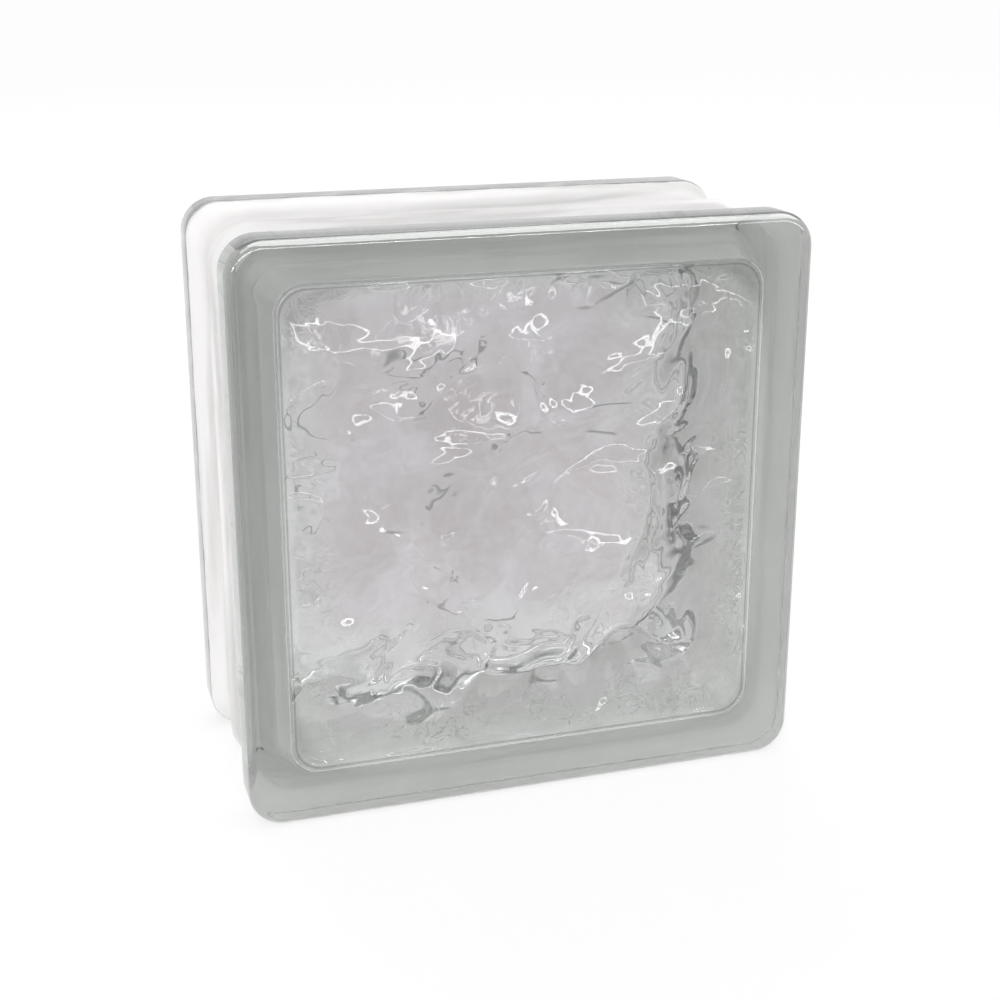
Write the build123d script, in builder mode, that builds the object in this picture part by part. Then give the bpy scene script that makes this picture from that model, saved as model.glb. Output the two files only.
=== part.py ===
from build123d import *
from math import atan2, degrees, pi, sin
import os

# A hollow block of pressed glass. Two dished halves are fused at the middle plane into one
# sealed piece, so it is one solid with a closed cavity. It stands on its lower edge with the
# front face toward -Y and Z up, and the origin is at the middle of the underside.

os.makedirs("parts", exist_ok=True)

# Outside, in millimetres
face_size = 196.85  # width and height of each pressed face
thickness = 98.4  # front face to back face
face_corner = 12.0  # corner radius of the face outline
face_edge = 3.0  # rounding all round each face
rim_width = 15.0  # straight rim beside each face
shoulder_run = 9.0  # length of the slope from the rim down to the mortar key
key_depth = 5.0  # bottom of the mortar key below the rim
key_corner = 14.0  # corner radius at the bottom of the key
key_cove = 8.0  # hollow rounding at the bottom of the key
waist_depth = 2.8  # waist beside the fused seam, below the rim
waist_corner = 14.0  # corner radius of the waist at the seam
bead_reach = 1.8  # fused bead to each side of the middle plane
bead_rise = 0.9  # height of the bead above the waist

# Inside, in millimetres
face_glass = 7.0  # glass behind each face, without its waves
face_wall = 15.0  # side wall at the face end of the cavity
seam_wall = 6.0  # side wall at the seam
cavity_corner = 10.5  # corner radius of the cavity
cavity_bevel = 1.5  # sloped edge between the cavity's walls and its faces
panel_margin = 0.3  # plain border between that slope and the waves
panel_corner = 9.0  # corner radius of the waved panel
wave_mean = 1.2  # mean height of the waves above the plain glass
wave_rise = 0.7  # height of a crest above that mean
wave_across = 58.0  # wavelength across the face
wave_up = 48.0  # wavelength up the face
drift_across = 97.0  # length over which the upright rows sway across
drift_up = 83.0  # length over which the level rows sway up and down

# Numbers without a unit
sway_share = 0.19  # sway of the rows, as a share of a wavelength
wave_points = 41  # points each way on the waved surface

# Derived sizes
half_thickness = thickness / 2
half_face = face_size / 2
rim_start = half_thickness - rim_width
key_start = rim_start - shoulder_run
key_size = face_size - 2 * key_depth
waist_size = face_size - 2 * waist_depth
bead_size = waist_size + 2 * bead_rise
bead_slope = degrees(atan2(bead_rise, bead_reach))
cavity_depth = half_thickness - face_glass
cavity_seam_size = waist_size - 2 * seam_wall
cavity_face_size = face_size - 2 * face_wall
panel_size = cavity_face_size - 2 * cavity_bevel - 2 * panel_margin
panel_height = 2 * wave_mean
grid_size = panel_size + 2 * cavity_bevel
grid_step = grid_size / (wave_points - 1)
grid_start = -grid_size / 2

# Planes across the thickness of the front half, from the seam to the cavity's end
seam_plane = Plane((0, 0, half_face), x_dir=(1, 0, 0), z_dir=(0, -1, 0))
key_plane = seam_plane.offset(key_start)
rim_plane = seam_plane.offset(rim_start)
cavity_plane = seam_plane.offset(cavity_depth)


def wave_height(across, up):
    """Height of the waved glass above the plain face, from swaying rows of crests."""
    sway_across = sway_share * sin(2 * pi * up / drift_up)
    sway_up = sway_share * sin(2 * pi * across / drift_across)
    rows = sin(2 * pi * (across / wave_across + sway_across))
    columns = sin(2 * pi * (up / wave_up + sway_up))
    return wave_mean + wave_rise * rows * columns


# Outside of the front half: waist, sloping shoulder, then the straight rim up to the face
with BuildPart() as front_half:
    with BuildSketch(seam_plane):
        RectangleRounded(waist_size, waist_size, waist_corner)
    with BuildSketch(key_plane):
        RectangleRounded(key_size, key_size, key_corner)
    loft(ruled=True)
    with BuildSketch(key_plane):
        RectangleRounded(key_size, key_size, key_corner)
    with BuildSketch(rim_plane):
        RectangleRounded(face_size, face_size, face_corner)
    loft(ruled=True)
    key_edges = front_half.edges().filter_by_position(Axis.Y, -key_start, -key_start)
    fillet(key_edges, key_cove)
    with BuildSketch(rim_plane):
        RectangleRounded(face_size, face_size, face_corner)
    extrude(amount=rim_width)
    fillet(front_half.edges().group_by(Axis.Y)[0], face_edge)

# The waved surface pressed into the inner side of the front face
wave_grid = []
for column in range(wave_points):
    across = grid_start + column * grid_step
    wave_line = []
    for row in range(wave_points):
        up = grid_start + row * grid_step
        wave_line.append(Vector(across, wave_height(across, up) - cavity_depth, up + half_face))
    wave_grid.append(wave_line)
wave_surface = Face.make_surface_from_array_of_points(wave_grid)

# Panel of waves standing on the plain glass at the front end of the cavity
with BuildPart() as wave_panel:
    with BuildSketch(cavity_plane):
        RectangleRounded(panel_size, panel_size, panel_corner)
    extrude(amount=-panel_height)
    extrude(wave_surface, amount=panel_height, dir=(0, 1, 0), mode=Mode.SUBTRACT)

# Front half of the cavity: drafted walls that widen toward the seam, less the waves
with BuildPart() as half_cavity:
    with BuildSketch(seam_plane):
        RectangleRounded(cavity_seam_size, cavity_seam_size, cavity_corner)
    with BuildSketch(cavity_plane):
        RectangleRounded(cavity_face_size, cavity_face_size, cavity_corner)
    loft(ruled=True)
    chamfer(half_cavity.edges().group_by(Axis.Y)[0], cavity_bevel)
    add(wave_panel.part, mode=Mode.SUBTRACT)

# The whole block: both halves and the bead, less both halves of the cavity
with BuildPart() as glass_block:
    add(front_half.part)
    mirror(front_half.part, about=seam_plane)
    with BuildSketch(seam_plane):
        RectangleRounded(bead_size, bead_size, waist_corner)
    extrude(amount=bead_reach, both=True, taper=bead_slope)
    add(half_cavity.part, mode=Mode.SUBTRACT)
    mirror(half_cavity.part, about=seam_plane, mode=Mode.SUBTRACT)

glass_block.part.label = "glass_block"
export_step(glass_block.part, "parts/glass_block.step")
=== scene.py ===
import math

import bpy
import numpy as np
from mathutils import Euler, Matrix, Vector


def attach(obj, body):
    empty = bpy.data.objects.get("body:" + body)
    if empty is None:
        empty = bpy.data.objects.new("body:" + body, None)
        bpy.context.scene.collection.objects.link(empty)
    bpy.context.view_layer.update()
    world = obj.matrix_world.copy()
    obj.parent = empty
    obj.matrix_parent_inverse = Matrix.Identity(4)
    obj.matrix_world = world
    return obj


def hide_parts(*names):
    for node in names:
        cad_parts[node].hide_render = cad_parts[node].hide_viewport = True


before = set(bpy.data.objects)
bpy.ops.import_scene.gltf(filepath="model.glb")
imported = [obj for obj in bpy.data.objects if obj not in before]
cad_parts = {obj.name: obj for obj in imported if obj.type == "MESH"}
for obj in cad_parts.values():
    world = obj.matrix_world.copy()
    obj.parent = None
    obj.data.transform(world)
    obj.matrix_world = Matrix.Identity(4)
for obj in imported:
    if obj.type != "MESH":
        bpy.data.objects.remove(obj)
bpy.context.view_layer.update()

# Sizes of the pressed block, in metres
FACE = 0.19685  # width and height of each face
THICKNESS = 0.0984  # front face to back face
FACE_CORNER = 0.012  # corner radius of the face outline
FACE_EDGE = 0.003  # rounding all round each face
RIM_WIDTH = 0.015  # straight rim beside each face
SHOULDER_RUN = 0.009  # slope from the rim down to the mortar key
KEY_DEPTH = 0.005  # bottom of the key below the rim
KEY_CORNER = 0.014  # corner radius of the key and the waist
WAIST_DEPTH = 0.0028  # waist beside the seam, below the rim
BEAD_REACH = 0.0018  # fused bead to each side of the seam
BEAD_RISE = 0.0009  # height of the bead above the waist
FACE_GLASS = 0.007  # glass behind each face, without its waves
FACE_WALL = 0.015  # side wall at the face end of the cavity
SEAM_WALL = 0.006  # side wall at the seam
CAVITY_CORNER = 0.0105  # corner radius of the cavity
CAVITY_ROUND = 0.0015  # rounding between the cavity's walls and its faces
PANEL_MARGIN = 0.0003  # plain border between that rounding and the waves
PANEL_CORNER = 0.009  # corner radius of the waved panel
PANEL_RISE = 0.0012  # mean height of the waves above the plain glass
WAVE_RISE = 0.0007  # height of a crest above that mean
WAVE_ACROSS = 0.058  # wavelength across the face
WAVE_UP = 0.048  # wavelength up the face
DRIFT_ACROSS = 0.097  # length over which the upright rows sway
DRIFT_UP = 0.083  # length over which the level rows sway

# Derived sizes
HALF = FACE / 2
MID = THICKNESS / 2
RIM_START = MID - RIM_WIDTH
KEY_START = RIM_START - SHOULDER_RUN
CAVITY_END = MID - FACE_GLASS
PANEL_HALF = HALF - FACE_WALL - CAVITY_ROUND - PANEL_MARGIN

# Soft transitions, in metres
FACE_LIP = 0.0006  # flat ring on the face beside its rounding
RIM_EASE = 0.0012  # start of the bend from the rim to the shoulder
KEY_EASE = 0.0025  # run of that bend past the start of the key
PANEL_RAMP = 0.003  # edge of the panel, where the relief dies out
SIDE_FADE = 0.024  # painted shade (the rosy tint) dying out toward the panel's sides
FOOT_FADE = 0.034  # the same toward its foot
HEAD_FADE = 0.008  # the same toward its head
COAT_FADE = 0.004  # ragged edge of the white coat

# Fine relief on the panels, in metres
BEND_REACH = 0.007
BEND_PITCH = 0.026
PUDDLE_RISE = 0.0009
PUDDLE_PITCH = 0.018
DENT_RISE = 0.00022
DENT_PITCH = 0.009
PATCH_PITCH = 0.036
STROKE_DEPTH = 0.00034
STROKE_PITCH = 0.014
CELL_RISE = 0.00008
CELL_PITCH = 0.0042

# Numbers of the shape without a length
SWAY_SHARE = 0.19  # sway of the rows, as a share of a wavelength
WAIST_EASE = 0.6  # share of the waist's rise that is even
RELIEF_LEAN = math.radians(25)  # slope of the long puddles and strokes
PUDDLE_STRETCH = 0.62
PATCH_GAIN = 1.6
STROKE_STRETCH = 0.7
STROKE_WIDTH = 0.06
CELL_FLOOR = 0.7
SWIRL_GAIN = 1.5
NOISE_CELLS = 64
FRONT_SEED = 344
BACK_SEED = 47

# Divisions of the mesh
SIDE_STEPS = 8
ARC_STEPS = 10
FACE_EDGE_STEPS = 8
SHOULDER_STEPS = 24
WAIST_STEPS = 8
BEAD_STEPS = 5
CAVITY_ROUND_STEPS = 5
WALL_STEPS = 2
PANEL_STEPS = 186
RAMP_STEPS = 4

# Marks on the panel's outermost points, for the painted shade of a dark line round it
OUTLINE_SHADE_FROM = 0.9999
OUTLINE_SHADE_MARK = -1.0


# Relief of the panels


def smooth(value):
    """A soft step from 0 to 1."""
    value = np.clip(value, 0, 1)
    return value * value * (3 - 2 * value)


def smoother(value):
    """A softer step, for values between 0 and 1."""
    return value**3 * (value * (6 * value - 15) + 10)


def swirl_noise(across, up, pitch, seed):
    """Smooth random swells of about one pitch, the same on every run."""
    angles = np.random.default_rng(seed).uniform(0, 2 * math.pi, (NOISE_CELLS, NOISE_CELLS))
    u = across / pitch + NOISE_CELLS / 2
    v = up / pitch + NOISE_CELLS / 2
    i = np.floor(u).astype(int)
    j = np.floor(v).astype(int)
    total = np.zeros_like(u)
    for di in (0, 1):
        for dj in (0, 1):
            angle = angles[(i + di) % NOISE_CELLS, (j + dj) % NOISE_CELLS]
            du = u - i - di
            dv = v - j - dj
            weight = smoother(1 - abs(du)) * smoother(1 - abs(dv))
            total += weight * (np.cos(angle) * du + np.sin(angle) * dv)
    return SWIRL_GAIN * total


def relief(across, up, seed):
    """Height of the pressed pattern over the panel's mean, in metres."""
    sway_across = SWAY_SHARE * np.sin(2 * math.pi * up / DRIFT_UP)
    sway_up = SWAY_SHARE * np.sin(2 * math.pi * across / DRIFT_ACROSS)
    rows = np.sin(2 * math.pi * (across / WAVE_ACROSS + sway_across))
    columns = np.sin(2 * math.pi * (up / WAVE_UP + sway_up))
    bend_x = across + BEND_REACH * swirl_noise(across, up, BEND_PITCH, seed + 1)
    bend_y = up + BEND_REACH * swirl_noise(across, up, BEND_PITCH, seed + 2)
    along = PUDDLE_STRETCH * (bend_x * math.cos(RELIEF_LEAN) + bend_y * math.sin(RELIEF_LEAN))
    over = bend_y * math.cos(RELIEF_LEAN) - bend_x * math.sin(RELIEF_LEAN)
    puddles = PUDDLE_RISE * swirl_noise(along, over, PUDDLE_PITCH, seed + 4)
    dents = DENT_RISE * swirl_noise(bend_x, bend_y, DENT_PITCH, seed + 5)
    patch = smooth(0.5 + PATCH_GAIN * swirl_noise(across, up, PATCH_PITCH, seed + 6))
    stroke = swirl_noise(STROKE_STRETCH * along, over, STROKE_PITCH, seed + 7)
    stroke_share = (1 - patch) * smooth((PANEL_HALF + up) / FOOT_FADE)
    strokes = -STROKE_DEPTH * np.exp(-((stroke / STROKE_WIDTH) ** 2)) * stroke_share
    cells = CELL_RISE * swirl_noise(bend_x, bend_y, CELL_PITCH, seed + 8) * (CELL_FLOOR + patch)
    return WAVE_RISE * rows * columns + puddles + dents + strokes + cells


# Mesh of the block


def panel_places():
    """Places across the panel, closer together over the ramp at its edge."""
    inner = 1 - PANEL_RAMP / PANEL_HALF
    ramp = np.linspace(inner, 1, RAMP_STEPS + 1)[1:]
    middle = np.linspace(-inner, inner, PANEL_STEPS - 2 * RAMP_STEPS + 1)
    return np.concatenate([-ramp[::-1], middle, ramp])


def arc_places(half, corner):
    """Places along one side of a rounded square, with most of the points in its corners."""
    edge = (half - corner) / half
    low = np.linspace(-1, -edge, ARC_STEPS + 1)[:-1]
    middle = np.linspace(-edge, edge, SIDE_STEPS + 1)
    high = np.linspace(edge, 1, ARC_STEPS + 1)[1:]
    return np.concatenate([low, middle, high])


def bend_corner(along, half, corner):
    """Distance out and along for places on a square's side, bent round its rounded corners."""
    straight = half - corner
    past = np.clip(abs(along) - straight, 0, None) / np.where(corner > 0, corner, 1)
    angle = past * math.pi / 4
    out = np.where(past > 0, straight + corner * np.cos(angle), half)
    side = np.where(past > 0, np.sign(along) * (straight + corner * np.sin(angle)), along)
    return out, side


def rounded_square(half, corner, places):
    """Points round a rounded square; places run along each side, from corner to corner."""
    out, side = bend_corner(places * half, half, corner)
    points = []
    for quarter in range(4):
        c = round(math.cos(quarter * math.pi / 2))
        s = round(math.sin(quarter * math.pi / 2))
        points.append(np.stack([c * out - s * side, s * out + c * side], axis=1)[:-1])
    return np.concatenate(points)


class Glassware:
    """Collects the points and faces of the block, with the marks that its finish reads."""

    def __init__(self):
        self.points, self.faces, self.coats, self.waves = [], [], [], []
        self.count = 0

    def add(self, points, coat=0.0, waves=0.0):
        """Adds points and returns their numbers."""
        first = self.count
        self.points.append(points)
        self.coats.append(np.full(len(points), coat))
        self.waves.append(np.full(len(points), 1.0) * waves)
        self.count += len(points)
        return np.arange(first, self.count)

    def ring(self, half, corner, depth, places, coat=0.0):
        flat = rounded_square(half, corner, places)
        points = np.column_stack([flat[:, 0], np.full(len(flat), depth), flat[:, 1] + HALF])
        return self.add(points, coat)

    def quads(self, corners, flip):
        self.faces.extend((corners[:, ::-1] if flip else corners).tolist())

    def join(self, ring_a, ring_b, flip=False):
        """Quads between two rings of as many points."""
        corners = [ring_a, np.roll(ring_a, -1), np.roll(ring_b, -1), ring_b]
        self.quads(np.column_stack(corners), flip)

    def cap(self, ring, flip=False):
        self.faces.append((ring[::-1] if flip else ring).tolist())

    def mesh(self, name):
        mesh = bpy.data.meshes.new(name)
        mesh.from_pydata(np.concatenate(self.points).tolist(), [], self.faces)
        for mark, values in (("coat", self.coats), ("waves", self.waves)):
            attribute = mesh.attributes.new(mark, "FLOAT", "POINT")
            attribute.data.foreach_set("value", np.concatenate(values))
        mesh.polygons.foreach_set("use_smooth", [True] * len(mesh.polygons))
        mesh.validate()
        mesh.update()
        return mesh


def outer_stations():
    """(depth, inset, corner radius) down the outside, from a face to the seam."""
    stations = [(MID, FACE_EDGE + FACE_LIP, FACE_CORNER - FACE_EDGE - FACE_LIP)]
    for step in range(FACE_EDGE_STEPS + 1):
        turn = step / FACE_EDGE_STEPS * math.pi / 2
        inset = FACE_EDGE * (1 - math.sin(turn))
        stations.append((MID - FACE_EDGE * (1 - math.cos(turn)), inset, FACE_CORNER - inset))
    # straight rim, up to where it bends into the shoulder
    rim_end = RIM_START + RIM_EASE
    stations.append((RIM_START + COAT_FADE / 2, 0, FACE_CORNER))
    stations.append((rim_end, 0, FACE_CORNER))
    # shoulder and hollow key in one soft curve
    key_end = KEY_START - KEY_EASE
    for t in np.linspace(0, 1, SHOULDER_STEPS + 1)[1:]:
        ease = smooth(t)
        corner = FACE_CORNER + (KEY_CORNER - FACE_CORNER) * ease
        stations.append((rim_end + (key_end - rim_end) * t, KEY_DEPTH * ease, corner))
    # waist, rising toward the seam
    for t in np.linspace(0, 1, WAIST_STEPS + 1)[1:]:
        inset = KEY_DEPTH + (WAIST_DEPTH - KEY_DEPTH) * t * (WAIST_EASE + (1 - WAIST_EASE) * t)
        stations.append((key_end + (BEAD_REACH - key_end) * t, inset, KEY_CORNER))
    # fused bead
    for t in np.linspace(0, 1, BEAD_STEPS + 1)[1:]:
        inset = WAIST_DEPTH - BEAD_RISE * math.sin(t * math.pi / 2)
        stations.append((BEAD_REACH * (1 - t), inset, KEY_CORNER))
    return stations


def cavity_stations():
    """(depth, half width, corner radius) down the cavity's wall, from a panel to the seam."""
    wall_half = HALF - FACE_WALL
    seam_half = HALF - WAIST_DEPTH - SEAM_WALL
    panel_depth = CAVITY_END - PANEL_RISE
    stations = []
    for step in range(CAVITY_ROUND_STEPS + 1):
        turn = step / CAVITY_ROUND_STEPS * math.pi / 2
        inset = CAVITY_ROUND * (1 - math.sin(turn))
        depth = panel_depth - CAVITY_ROUND * (1 - math.cos(turn))
        stations.append((depth, wall_half - inset, CAVITY_CORNER - inset))
    for t in np.linspace(0, 1, WALL_STEPS + 1)[1:]:
        depth = (panel_depth - CAVITY_ROUND) * (1 - t)
        stations.append((depth, wall_half + (seam_half - wall_half) * t, CAVITY_CORNER))
    return stations


def front_to_back(stations):
    """The stations of one half, then those of the other half in reverse."""
    front = [(-depth, size, corner) for depth, size, corner in stations]
    return front + stations[-2::-1]


def add_outside(ware):
    """Both faces, rims, shoulders, keys and the bead."""
    rings = []
    for depth, inset, corner in front_to_back(outer_stations()):
        half = HALF - inset
        coat = np.clip((RIM_START + COAT_FADE / 2 - abs(depth)) / COAT_FADE, 0, 1)
        rings.append(ware.ring(half, corner, depth, arc_places(half, corner), coat))
        if len(rings) > 1:
            ware.join(rings[-2], rings[-1], flip=True)
    ware.cap(rings[0])
    ware.cap(rings[-1], flip=True)


def add_cavity(ware):
    """Walls of the sealed cavity and the waved panels at its two ends."""
    places = panel_places()
    rings = []
    for depth, half, corner in front_to_back(cavity_stations()):
        rings.append(ware.ring(half, corner, depth, places))
        if len(rings) > 1:
            ware.join(rings[-2], rings[-1])
    add_wave_panel(ware, rings[0], -1, FRONT_SEED)
    add_wave_panel(ware, rings[-1], 1, BACK_SEED)


def add_wave_panel(ware, border, side, seed):
    """Grid of the waved panel at one end of the cavity, joined to the border ring there."""
    places = panel_places()
    u, v = np.meshgrid(places, places, indexing="ij")
    rho = np.maximum(abs(u), abs(v))
    upright = abs(u) >= abs(v)
    half = PANEL_HALF * rho
    along = np.where(upright, v, u) / np.where(rho > 0, rho, 1) * half
    out, tall = bend_corner(along, half, PANEL_CORNER * rho)
    x = np.where(upright, np.sign(u) * out, tall)
    z = np.where(upright, tall, np.sign(v) * out)
    lift = smooth(PANEL_HALF * (1 - rho) / PANEL_RAMP)
    y = side * (CAVITY_END - (PANEL_RISE + lift * relief(x, z, seed)))
    # the waves mark: share of the painted shade (the rosy tint) at each point
    waves = smooth((PANEL_HALF - abs(x)) / SIDE_FADE) * smooth((PANEL_HALF + z) / FOOT_FADE)
    waves = waves * smooth((PANEL_HALF - z) / HEAD_FADE)
    waves = np.where(rho > OUTLINE_SHADE_FROM, OUTLINE_SHADE_MARK, waves)
    points = np.column_stack([x.ravel(), y.ravel(), z.ravel() + HALF])
    grid = ware.add(points, waves=waves.ravel()).reshape(rho.shape)
    corners = [grid[:-1, :-1], grid[1:, :-1], grid[1:, 1:], grid[:-1, 1:]]
    ware.quads(np.stack(corners, axis=-1).reshape(-1, 4), flip=side < 0)
    # the grid's outline, in the order of the border ring
    sides = [grid[-1, :-1], grid[::-1, -1][:-1], grid[0, ::-1][:-1], grid[:, 0][:-1]]
    ware.join(np.concatenate(sides), border, flip=side > 0)


def block_mesh():
    ware = Glassware()
    add_outside(ware)
    add_cavity(ware)
    return ware.mesh("glass_block")


# Shader nodes


class Value:
    """A shader socket that takes part in Python arithmetic."""

    def __init__(self, finish, socket):
        self.finish, self.socket = finish, socket

    def math(self, operation, a, b):
        return self.finish.node("ShaderNodeMath", {"operation": operation}, {0: a, 1: b})["Value"]

    def __add__(self, other):
        return self.math("ADD", self, other)

    def __radd__(self, other):
        return self.math("ADD", other, self)

    def __sub__(self, other):
        return self.math("SUBTRACT", self, other)

    def __rsub__(self, other):
        return self.math("SUBTRACT", other, self)

    def __mul__(self, other):
        return self.math("MULTIPLY", self, other)

    def __rmul__(self, other):
        return self.math("MULTIPLY", other, self)

    def __pow__(self, other):
        return self.math("POWER", self, other)

    def __abs__(self):
        return self.math("ABSOLUTE", self, 0.0)

    def above(self, other):
        """1 where the value is greater than the other, and 0 elsewhere."""
        return self.math("GREATER_THAN", self, other)


class Outputs:
    """The outputs of one node, as values."""

    def __init__(self, finish, shader):
        self.finish, self.shader = finish, shader

    def __getitem__(self, name):
        return Value(self.finish, self.shader.outputs[name])


class Finish:
    """One material, or the world, and its nodes."""

    def __init__(self, owner):
        owner.use_nodes = True
        self.tree = owner.node_tree
        self.tree.nodes.clear()

    def node(self, kind, settings, sockets):
        """Makes a node from its type, its settings and the values or links of its sockets."""
        made = self.tree.nodes.new(kind)
        for name, value in settings.items():
            setattr(made, name, value)
        for name, value in sockets.items():
            if isinstance(value, Value):
                self.tree.links.new(value.socket, made.inputs[name])
            else:
                made.inputs[name].default_value = value
        return Outputs(self, made)

    def noise(self, place, scale, detail, roughness=0.5, distortion=0.0):
        sockets = {"Vector": place, "Scale": scale, "Detail": detail}
        sockets.update({"Roughness": roughness, "Distortion": distortion})
        return self.node("ShaderNodeTexNoise", {}, sockets)["Fac"]

    def step(self, value, start, end):
        """A soft step, 0 at the start and 1 at the end."""
        sockets = {"Value": value, "From Min": start, "From Max": end}
        return self.node("ShaderNodeMapRange", {"interpolation_type": "SMOOTHSTEP"}, sockets)["Result"]

    def tint(self, share, a, b):
        """The colour a, turning into the colour b as the share goes to 1."""
        return self.node("ShaderNodeMix", {"data_type": "RGBA"}, {0: share, 6: a, 7: b})[2]

    def mark(self, name):
        """A mark that the mesh carries on its points."""
        return self.node("ShaderNodeAttribute", {"attribute_name": name}, {})["Fac"]

    def bump(self, height, strength, distance):
        sockets = {"Strength": strength, "Distance": distance, "Height": height}
        return self.node("ShaderNodeBump", {}, sockets)["Normal"]


# Pressed glass and its white coat

# Colours
CLEAR_DIM = (0.72, 0.735, 0.725, 1)
CLEAR_BRIGHT = (0.90, 0.91, 0.905, 1)
BOTTLE_DIM = (0.39, 0.405, 0.395, 1)
BOTTLE_BRIGHT = (0.66, 0.675, 0.665, 1)
RIM_SIDE = (0.60, 0.615, 0.605, 1)
# painted shade on the top of the rim
RIM_TOP_PAINTED_SHADE = (0.12, 0.13, 0.125, 1)
# painted shade: rosy grey on the panels, standing in for the shadowed floor seen through them
ROSY_SHADE_DIM = (0.64, 0.59, 0.61, 1)
ROSY_SHADE_BRIGHT = (0.79, 0.75, 0.795, 1)
FLECK = (0.48, 0.495, 0.485, 1)
# painted shade in thin dark creases
CREASE_SHADE = (0.19, 0.215, 0.20, 1)
# painted shade in dark outlines of the dells
DELL_SHADE = (0.28, 0.30, 0.29, 1)
# painted shade in the dark line round each panel
OUTLINE_SHADE = (0.25, 0.27, 0.26, 1)
MILK_DIM = (0.82, 0.82, 0.81, 1)
MILK_BRIGHT = (0.95, 0.945, 0.94, 1)
GLOW = (0.96, 0.96, 0.95, 1)
DEEP_GLASS = (0, 0.07, 0.02, 1)
WHITE = (1, 1, 1, 1)

# Noise scales, in cells per metre
CLOUD_SCALE = 45.0
SHADE_PATCH_SCALE = 32.0
MOTTLE_SCALE = 150.0
CREASE_SCALE = 55.0
CREASE_PLACES_SCALE = 38.0
GRAIN_SCALE = 400.0
BRUSH_SCALES = (14, 110, 14)

# Starts and ends of soft steps; the first two are places in metres
BORDER_STEP = (PANEL_HALF - 0.001, PANEL_HALF + 0.004)
FOOT_STEP = (0.03, 0.075)
STREAK_STEP = (0.34, 0.58)
PRESSED_STEP = (0.0, 0.05)
FLECK_STEP = (0.38, 0.62)
ROSY_SHADE_STEP = (0.38, 0.66)
CREASE_SHADE_STEP = (0.016, 0.003)
CREASE_PLACES_STEP = (0.615, 0.665)
DELL_STEP = (0.44, 0.56)
LINE_STEP = (0.024, 0.006)
OUTLINE_SHADE_STEP = (-0.15, -0.7)
COAT_STEP = (0.42, 0.58)

# Shares and levels of the tints
TINT_BASE = 0.25
TINT_NOISE = 0.5
# painted light: how much lighter the clear and bottle tints get toward the bottom
CLEAR_PAINTED_LIGHT_BELOW = 0.9
BOTTLE_PAINTED_LIGHT_BELOW = 0.6
# painted shade: how dark the top of the rim gets, and how much more toward the face
RIM_SHADE_BASE = 0.45
RIM_SHADE_GAIN = 0.55
FLECK_BASE = 0.3
FLECK_GAIN = 0.5
FOOT_BASE = 0.2
FOOT_GAIN = 0.8
DELL_SHADE_SHARE = 0.7
OUTLINE_SHADE_SHARE = 0.8
CREASE_LEVEL = 0.5
DELL_SHADE_LEVEL = 0.47
DELL_HIGHLIGHT_LEVEL = 0.54
CLOUD_MEAN = 0.5
COAT_RAGGED = 0.9
GLOW_SHARE = 0.45
GLOW_STREAK = 0.12

# Other numbers of the finish
FACE_FROM = MID - 0.001  # depth from which a point counts as on a face, in metres
CREASE_TURN = (0, math.radians(-40), 0)
CREASE_STRETCH = (0.45, 1, 1)
RIPPLE = 0.00004  # faint ripple all over the glass, in metres
PANEL_RIPPLE = 0.0001  # more of it on the panels
GRAIN_HEIGHT = 0.0003
GRAIN_STRENGTH = 0.3
GLASS_IOR = 1.52
DEEP_GLASS_DENSITY = 5.0
PAINT_ROUGHNESS = 0.6
PAINT_SPECULAR = 0.1


def plain_tint(finish, spot, cloud, streak):
    """Grey-green of the clear glass, darker on the face borders and the rims, with painted light that
    makes it lighter toward the bottom and painted shade that darkens the top of the rim toward the
    face.
    """
    painted_light_below = HALF - spot["Z"]
    depth_squared = spot["Y"] * spot["Y"]
    round_out = (spot["X"] ** 6 + (spot["Z"] - HALF) ** 6) ** (1 / 6)
    # painted light: the tints get lighter toward the bottom, standing in for light from below; the
    # streaks and clouds are random tone
    clear_share = streak * TINT_NOISE + painted_light_below * (CLEAR_PAINTED_LIGHT_BELOW / FACE) + TINT_BASE
    clear = finish.tint(clear_share, CLEAR_DIM, CLEAR_BRIGHT)
    bottle_share = cloud * TINT_NOISE + painted_light_below * (BOTTLE_PAINTED_LIGHT_BELOW / FACE) + TINT_BASE
    bottle = finish.tint(bottle_share, BOTTLE_DIM, BOTTLE_BRIGHT)
    border = finish.step(round_out, *BORDER_STEP)
    on_face = depth_squared.above(FACE_FROM**2)
    faced = finish.tint(border * on_face, clear, bottle)
    outside = round_out.above(HALF - FACE_EDGE)
    on_rim = depth_squared.above((RIM_START - COAT_FADE) ** 2) * outside * (1 - on_face)
    # painted shade: the top of the rim is darker than its sides, darkest toward the face
    toward_face = finish.step(depth_squared, RIM_START**2, (MID - FACE_EDGE) ** 2)
    on_top = spot["Z"].above(FACE - FACE_EDGE)
    rim = finish.tint(on_top * (toward_face * RIM_SHADE_GAIN + RIM_SHADE_BASE), RIM_SIDE, RIM_TOP_PAINTED_SHADE)
    return finish.tint(on_rim, faced, rim)


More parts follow.
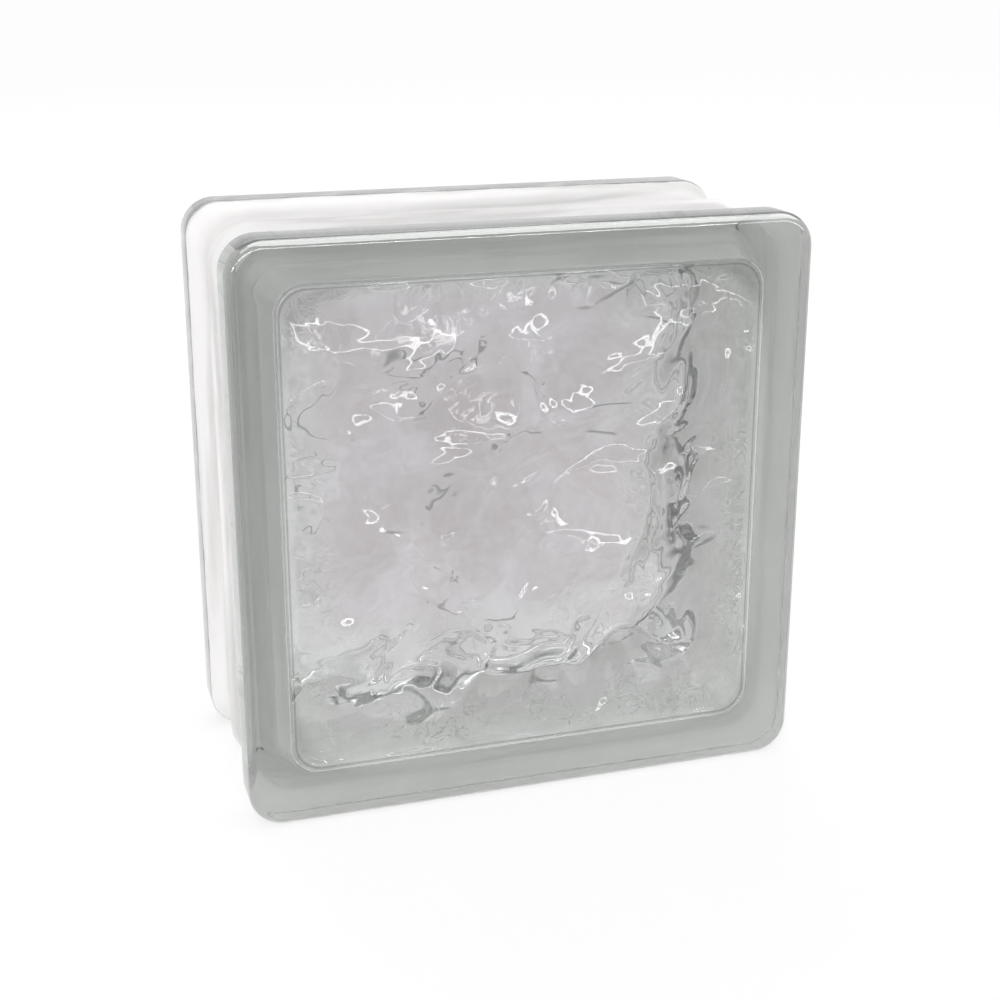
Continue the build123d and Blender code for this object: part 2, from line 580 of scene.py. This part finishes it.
def glass_tint(finish, place, cloud, streak, waves, pressed):
    """Tint of the glass: painted rosy shade and thin dark painted crease lines on the panels, flecked
    toward their edges, with painted shade and painted highlight lines round the verge and a painted
    dark line round each panel.
    """
    spot = finish.node("ShaderNodeSeparateXYZ", {}, {"Vector": place})
    plain = plain_tint(finish, spot, cloud, streak)
    # flecks where the painted shade (the rosy tint) dies out
    mottle = finish.noise(place, MOTTLE_SCALE, detail=3.0, roughness=0.6, distortion=1.2)
    flecks = finish.step(mottle, *FLECK_STEP) * FLECK_GAIN + FLECK_BASE
    above_foot = finish.step(spot["Z"], *FOOT_STEP) * FOOT_GAIN + FOOT_BASE
    verge = pressed * (1 - waves)
    dappled = finish.tint(verge * flecks * above_foot, plain, FLECK)
    # painted shade: rosy grey in the middle of the panels, in random patches, standing in for the
    # shadowed floor seen through them
    shade_patches = finish.noise(place, SHADE_PATCH_SCALE, detail=5.0, roughness=0.62, distortion=0.8)
    rosy = finish.tint(finish.step(shade_patches, *ROSY_SHADE_STEP), ROSY_SHADE_DIM, ROSY_SHADE_BRIGHT)
    panel = finish.tint(waves, dappled, rosy)
    # painted shade: a few thin dark crease lines, drawn out across the face
    mapping = {"Vector": place, "Rotation": CREASE_TURN, "Scale": CREASE_STRETCH}
    drawn_out = finish.node("ShaderNodeMapping", {}, mapping)["Vector"]
    crease = finish.noise(drawn_out, CREASE_SCALE, detail=1.0)
    crease_shade_line = finish.step(abs(crease - CREASE_LEVEL), *CREASE_SHADE_STEP)
    crease_places = finish.noise(place, CREASE_PLACES_SCALE, detail=1.0)
    few = finish.step(crease_places, *CREASE_PLACES_STEP)
    crease_shaded = finish.tint(crease_shade_line * few * pressed, panel, CREASE_SHADE)
    # painted shade and painted highlights: dark and light outlines of small dells round the verge
    dells = finish.step(cloud, *DELL_STEP) * verge
    hollow = finish.step(abs(mottle - DELL_SHADE_LEVEL), *LINE_STEP)
    crest = finish.step(abs(mottle - DELL_HIGHLIGHT_LEVEL), *LINE_STEP)
    dell_shaded = finish.tint(hollow * dells * DELL_SHADE_SHARE, crease_shaded, DELL_SHADE)
    # painted highlight: white lines on the dells' crests
    dell_highlighted = finish.tint(crest * dells, dell_shaded, WHITE)
    # painted shade: dark line round the panel
    return finish.tint(finish.step(waves, *OUTLINE_SHADE_STEP) * OUTLINE_SHADE_SHARE, dell_highlighted, OUTLINE_SHADE)


def white_coat(finish, place, streak):
    """Brushed white paint that lets some light through."""
    grain = finish.noise(place, GRAIN_SCALE, detail=2.0)
    milk = finish.tint(streak, MILK_DIM, MILK_BRIGHT)
    skin = {"Base Color": milk, "Roughness": PAINT_ROUGHNESS, "Specular IOR Level": PAINT_SPECULAR}
    skin["Normal"] = finish.bump(grain, GRAIN_STRENGTH, GRAIN_HEIGHT)
    paint = finish.node("ShaderNodeBsdfPrincipled", {}, skin)["BSDF"]
    glow = finish.node("ShaderNodeBsdfTranslucent", {}, {"Color": GLOW})["BSDF"]
    glow_share = GLOW_SHARE - streak * GLOW_STREAK
    return finish.node("ShaderNodeMixShader", {}, {0: glow_share, 1: paint, 2: glow})["Shader"]


def coated_glass():
    """Clear pressed glass with the white coat on its recessed edge."""
    material = bpy.data.materials.new("pressed glass")
    finish = Finish(material)
    place = finish.node("ShaderNodeTexCoord", {}, {})["Object"]
    cloud = finish.noise(place, CLOUD_SCALE, detail=3.0)
    brushed = finish.node("ShaderNodeMapping", {}, {"Vector": place, "Scale": BRUSH_SCALES})["Vector"]
    streak = finish.step(finish.noise(brushed, 1.0, detail=4.0, distortion=0.6), *STREAK_STEP)
    waves = finish.mark("waves")
    pressed = finish.step(waves, *PRESSED_STEP)
    body = {"Roughness": 0.0, "IOR": GLASS_IOR, "Transmission Weight": 1.0}
    body["Base Color"] = glass_tint(finish, place, cloud, streak, waves, pressed)
    ripple = cloud * PANEL_RIPPLE * pressed + cloud * RIPPLE
    body["Normal"] = finish.bump(ripple, 1.0, 1.0)
    glass = finish.node("ShaderNodeBsdfPrincipled", {}, body)["BSDF"]
    coat = white_coat(finish, place, streak)
    edge = finish.step(finish.mark("coat") + (cloud - CLOUD_MEAN) * COAT_RAGGED, *COAT_STEP)
    whole = finish.node("ShaderNodeMixShader", {}, {0: edge, 1: glass, 2: coat})["Shader"]
    absorption = {"Color": DEEP_GLASS, "Density": DEEP_GLASS_DENSITY}
    depth = finish.node("ShaderNodeVolumeAbsorption", {}, absorption)["Volume"]
    finish.node("ShaderNodeOutputMaterial", {}, {"Surface": whole, "Volume": depth})
    return material


# Pale floor and studio

FLOOR_REACH = 20.0  # metres from the middle to each side
FLOOR_GAP = 0.0002  # metres below the block's underside
FLOOR_PAPER = (0.94, 0.94, 0.94, 1)
FLOOR_SEEN = 0.7  # share of white that the camera sees
FLOOR_IN_GLASS = 0.95  # share of white that shows in the glass
STUDIO_AIR = (0.795, 0.775, 0.785, 1)
STUDIO_SEEN = 0.85  # share of white seen, directly and in the glass


def pale_floor():
    """Pale paper that looks white to the camera and in the glass, and keeps the shadow."""
    material = bpy.data.materials.new("pale floor")
    finish = Finish(material)
    ray = finish.node("ShaderNodeLightPath", {}, {})
    in_glass = ray["Is Glossy Ray"] + ray["Is Transmission Ray"]
    seen = ray["Is Camera Ray"] * FLOOR_SEEN + in_glass * FLOOR_IN_GLASS
    paper = finish.node("ShaderNodeBsdfDiffuse", {}, {"Color": FLOOR_PAPER})["BSDF"]
    white = finish.node("ShaderNodeEmission", {}, {"Color": WHITE, "Strength": 1.0})["Emission"]
    both = finish.node("ShaderNodeMixShader", {}, {0: seen, 1: paper, 2: white})["Shader"]
    finish.node("ShaderNodeOutputMaterial", {}, {"Surface": both})
    return material


def studio_world():
    """Soft light from all round that looks white to the camera and in the glass."""
    world = bpy.data.worlds.new("studio")
    bpy.context.scene.world = world
    finish = Finish(world)
    ray = finish.node("ShaderNodeLightPath", {}, {})
    seen = (ray["Is Camera Ray"] + ray["Is Glossy Ray"] + ray["Is Transmission Ray"]) * STUDIO_SEEN
    soft = finish.node("ShaderNodeBackground", {}, {"Color": STUDIO_AIR, "Strength": 1.0})["Background"]
    white = finish.node("ShaderNodeBackground", {}, {"Color": WHITE, "Strength": 1.0})["Background"]
    both = finish.node("ShaderNodeMixShader", {}, {0: seen, 1: soft, 2: white})["Shader"]
    finish.node("ShaderNodeOutputWorld", {}, {"Surface": both})


def soft_box(name, place, aim, size, power, only_gloss=False):
    """An area lamp that the camera doesn't see; with only_gloss it shows just in reflections."""
    lamp = bpy.data.lights.new(name, "AREA")
    lamp.shape = "RECTANGLE"
    lamp.size, lamp.size_y = size
    lamp.energy = power
    box = bpy.data.objects.new(name, lamp)
    box.location = place
    box.rotation_euler = (Vector(aim) - Vector(place)).to_track_quat("-Z", "Y").to_euler()
    box.visible_camera = False
    box.visible_diffuse = not only_gloss
    box.visible_transmission = not only_gloss
    bpy.context.scene.collection.objects.link(box)


def window_light(strength, spread, height, turn):
    """A broad sun; its spread, height and turn are in degrees."""
    sun = bpy.data.lights.new("window light", "SUN")
    sun.energy = strength
    sun.angle = math.radians(spread)
    window = bpy.data.objects.new("window light", sun)
    window.rotation_euler = Euler((math.radians(90 - height), 0, math.radians(turn)))
    bpy.context.scene.collection.objects.link(window)


def photo_camera(place, down, turn, focal_pixels, frame_pixels, sensor):
    """Camera fitted to the photograph; down and turn are in degrees, and the sensor in millimetres."""
    lens = bpy.data.cameras.new("camera")
    lens.sensor_width = sensor
    lens.lens = focal_pixels / frame_pixels * sensor
    camera = bpy.data.objects.new("camera", lens)
    camera.location = place
    camera.rotation_euler = Euler((math.radians(90 - down), 0, math.radians(turn)))
    bpy.context.scene.collection.objects.link(camera)
    bpy.context.scene.camera = camera


# The block on its floor

block = bpy.data.objects.new("pressed_block", block_mesh())
bpy.context.scene.collection.objects.link(block)
block.data.materials.append(coated_glass())
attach(block, "root")
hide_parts("glass_block")

floor_mesh = bpy.data.meshes.new("floor")
floor_corners = [(-1, -1), (1, -1), (1, 1), (-1, 1)]
floor_points = [(FLOOR_REACH * x, FLOOR_REACH * y, 0) for x, y in floor_corners]
floor_mesh.from_pydata(floor_points, [], [(0, 1, 2, 3)])
floor = bpy.data.objects.new("floor", floor_mesh)
floor.location.z = -FLOOR_GAP
bpy.context.scene.collection.objects.link(floor)
floor.data.materials.append(pale_floor())

# Light and camera

studio_world()
soft_box("front strip", place=(0.6, -3.0, 0.3), aim=(0.6, 0, 0.3), size=(4.8, 0.13), power=82.0)
soft_box("back box", place=(0.0, 1.5, 1.6), aim=(0, 0, 0.1), size=(1.6, 1.2), power=9.0)
soft_box(
    "edge gloss", place=(0.4, -0.45, 1.2), aim=(0, 0, 0.1), size=(1.6, 1.5), power=72.0, only_gloss=True
)
window_light(strength=1.0, spread=25, height=45, turn=-25)
photo_camera(
    place=(-0.174, -0.553, 0.183 + HALF),
    down=18.21,
    turn=-17.86,
    focal_pixels=1697,
    frame_pixels=1000,
    sensor=36,
)
bpy.context.scene.view_settings.view_transform = "Standard"

# Light crosses many glass surfaces before it comes out again
cycles = bpy.context.scene.cycles
cycles.max_bounces = 32
cycles.transmission_bounces = 32
cycles.glossy_bounces = 16
cycles.diffuse_bounces = 8
